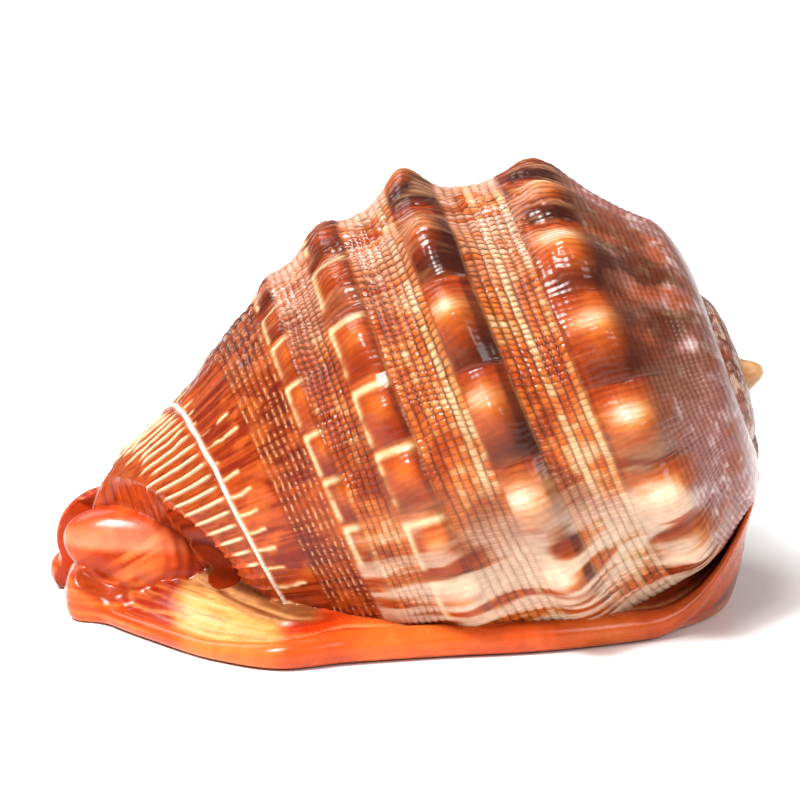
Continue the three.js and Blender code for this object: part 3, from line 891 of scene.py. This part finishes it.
def mouth_colour(points):
    x, _, z = points.T
    colour = mix(painted(x.shape, MOUTH_BROWN), CANAL_RED, 1 - smooth(x, -60, -52))
    return mix(colour, TOOTH_DARK, (1 - smooth(z, 0.0, 5.0)) * 0.7)


def chamber():
    """The hollow of the body whorl, followed back from the mouth inside its wall."""
    rows, columns = 60, 64
    along = np.clip((np.linspace(0, 1, rows)[:, None] - 0.04) / 0.92, 0, 1)
    angle = np.broadcast_to(lerp(*CHAMBER_ANGLES, along), (rows, columns)).copy()
    opened = lerp(1, 0.8, along) * np.ones((rows, columns))
    opened[[0, -1]] = 0
    turn = -np.linspace(0, 2 * math.pi, columns, endpoint=False)[None, :]
    size = growth_at(np.minimum(angle, LIP_ANGLE))
    station = CHAMBER_MIDDLE + CHAMBER_HALF * np.cos(turn) * opened
    curve = spline(BACK_PROFILE, np.linspace(0.12, 1, 2000))
    radius = np.interp(station, np.maximum.accumulate(curve[:, 0]), curve[:, 1])
    outer = np.maximum(radius * (1 + (size - 1) * spread_at(station)) - WALL, 0)
    inner = outer * 0.3
    middle = (outer + inner) / 2 + (outer - inner) / 2 * np.sin(turn) * opened
    distance = station * (1 + (size - 1) * shift_at(station))
    points = place(distance, middle, angle)
    points[..., 2] = np.maximum(points[..., 2], CHAMBER_FLOOR)
    return grid_mesh("chamber", points, painted(points.shape[:2], CHAMBER_TAN), BODY_MARK)


# ---------------------------------------------------------------- joining
def boolean(target, other, operation):
    cut = target.modifiers.new("cut", "BOOLEAN")
    cut.operation = operation
    cut.solver = "MANIFOLD"
    cut.object = other
    graph = bpy.context.evaluated_depsgraph_get()
    joined = target.evaluated_get(graph)
    made = bpy.data.meshes.new_from_object(joined, preserve_all_data_layers=True, depsgraph=graph)
    target.modifiers.clear()
    target.data = made
    bpy.data.objects.remove(other)
    return target


def heal_colours(mesh):
    """Gives the points made by the joins the colour of their neighbours."""
    count = len(mesh.vertices)
    rgba = np.empty(count * 4, np.float32)
    layer = mesh.attributes["Col"]
    layer.data.foreach_get("color", rgba)
    rgba = rgba.reshape(-1, 4)
    edges = np.empty(len(mesh.edges) * 2, np.int32)
    mesh.edges.foreach_get("vertices", edges)
    a, b = edges.reshape(-1, 2).T
    unknown = rgba[:, 3] > JOIN_MARK

    def gathered(values):
        return np.bincount(a, values[b], count) + np.bincount(b, values[a], count)

    for _ in range(6):
        known = (~unknown).astype(float)
        weight = gathered(known)
        total = np.stack([gathered(known * rgba[:, i]) for i in range(3)], axis=1)
        ready = unknown & (weight > 0)
        rgba[ready, :3] = total[ready] / weight[ready, None]
        unknown &= ~ready
    rgba[:, 3] = 1
    layer.data.foreach_set("color", rgba.ravel())


# ---------------------------------------------------------------- materials
def shell_material():
    """Glossy surface in the colours of Col, with a fine mottle."""
    material = bpy.data.materials.new("Shell")
    material.use_nodes = True
    nodes, links = material.node_tree.nodes, material.node_tree.links
    shader = nodes["Principled BSDF"]
    colour = nodes.new("ShaderNodeAttribute")
    colour.attribute_name = "Col"
    place_in = nodes.new("ShaderNodeTexCoord")
    mottle = nodes.new("ShaderNodeTexNoise")
    mottle.inputs["Scale"].default_value = 420
    mottle.inputs["Detail"].default_value = 4
    links.new(place_in.outputs["Object"], mottle.inputs["Vector"])
    tint = nodes.new("ShaderNodeMix")
    tint.data_type = "RGBA"
    tint.blend_type = "OVERLAY"
    tint.inputs["Factor"].default_value = 0.35
    links.new(colour.outputs["Color"], tint.inputs["A"])
    links.new(mottle.outputs["Fac"], tint.inputs["B"])
    links.new(tint.outputs["Result"], shader.inputs["Base Color"])
    gloss = nodes.new("ShaderNodeMapRange")
    gloss.inputs["To Min"].default_value = 0.14
    gloss.inputs["To Max"].default_value = 0.32
    links.new(mottle.outputs["Fac"], gloss.inputs["Value"])
    links.new(gloss.outputs["Result"], shader.inputs["Roughness"])
    bump = nodes.new("ShaderNodeBump")
    bump.inputs["Strength"].default_value = 0.12
    bump.inputs["Distance"].default_value = 0.0004
    links.new(mottle.outputs["Fac"], bump.inputs["Height"])
    links.new(bump.outputs["Normal"], shader.inputs["Normal"])
    shader.inputs["Specular IOR Level"].default_value = 0.17
    shader.inputs["Coat Weight"].default_value = 0.07
    shader.inputs["Coat Roughness"].default_value = 0.08
    shader.inputs["Subsurface Weight"].default_value = 0.0
    shader.inputs["IOR"].default_value = 1.53
    return material


def plain_material(name, colour, roughness):
    material = bpy.data.materials.new(name)
    material.use_nodes = True
    shader = material.node_tree.nodes["Principled BSDF"]
    shader.inputs["Base Color"].default_value = (*colour, 1)
    shader.inputs["Roughness"].default_value = roughness
    return material


# ---------------------------------------------------------------- build
whole = body_whorl()
for part in (
    spire(),
    apex_nub(),
    field_mesh("callus", callus_field, (-78, -55, -2.4), (78, 61, 40), callus_colour, CALLUS_MARK),
):
    whole = boolean(whole, part, "UNION")
for hollow in (
    field_mesh("bowl", bowl_field, (-56, -39, 4), (-27, -11, 31), bowl_colour, HOLLOW_MARK),
    chamber(),
    field_mesh("mouth", mouth_field, (-79, -14, -3.6), (60, 34, 32), mouth_colour, HOLLOW_MARK),
):
    whole = boolean(whole, hollow, "DIFFERENCE")
whole.name = "shell_skin"
heal_colours(whole.data)
whole.data.shade_smooth()
whole.data.materials.clear()
whole.data.materials.append(shell_material())
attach(whole, "root")
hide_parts("shell")

# ---------------------------------------------------------------- stage
bpy.ops.mesh.primitive_plane_add(size=6, location=(0, 0, -0.0002))
floor = bpy.context.object
floor.name = "floor"
floor.data.materials.append(plain_material("Floor", (0.93, 0.93, 0.93), 0.7))

# Area lamps: name, place, size and power. They face a point inside the shell.
LAMPS = [
    ("key", (-0.35, -0.45, 0.85), 0.28, 13),
    ("fill", (0.8, -0.7, 0.6), 0.4, 5),
    ("rim", (-0.5, 0.42, 0.75), 0.5, 4),
]
LAMP_TARGET = Vector((0, 0, 0.04))
SUN_FROM = Vector((-0.35, -0.55, 1.0))

for name, location, size, power in LAMPS:
    light = bpy.data.lights.new(name, "AREA")
    light.size = size
    light.energy = power
    lamp = bpy.data.objects.new(name, light)
    lamp.location = location
    lamp.rotation_euler = (LAMP_TARGET - Vector(location)).to_track_quat("-Z", "Y").to_euler()
    bpy.context.scene.collection.objects.link(lamp)

sun = bpy.data.objects.new("sun", bpy.data.lights.new("sun", "SUN"))
sun.data.angle = math.radians(24)
sun.data.energy = 2.3
sun.rotation_euler = SUN_FROM.to_track_quat("Z", "Y").to_euler()
bpy.context.scene.collection.objects.link(sun)

world = bpy.data.worlds.new("World")
world.use_nodes = True
world.node_tree.nodes["Background"].inputs["Color"].default_value = (1, 1, 1, 1)
world.node_tree.nodes["Background"].inputs["Strength"].default_value = 0.35
bpy.context.scene.world = world
bpy.context.scene.view_settings.view_transform = "Standard"

# Camera: raised 14 degrees, level, looking along +Y at a point in the middle of the shell
ELEVATION = math.radians(14)
DISTANCE = 0.9
target = (Vector(CENTRING) + Vector((0.2, 2.9, 40))) / 1000
target += Vector((-0.00105, 0, 0)) + Vector((0, math.sin(ELEVATION), math.cos(ELEVATION))) * 0.0027
camera = bpy.data.objects.new("camera", bpy.data.cameras.new("camera"))
camera.data.lens = 192.9
camera.data.sensor_width = 36
camera.location = target - Vector((0, math.cos(ELEVATION), -math.sin(ELEVATION))) * DISTANCE
camera.rotation_euler = (math.pi / 2 - ELEVATION, 0, 0)
bpy.context.scene.collection.objects.link(camera)
bpy.context.scene.camera = camera
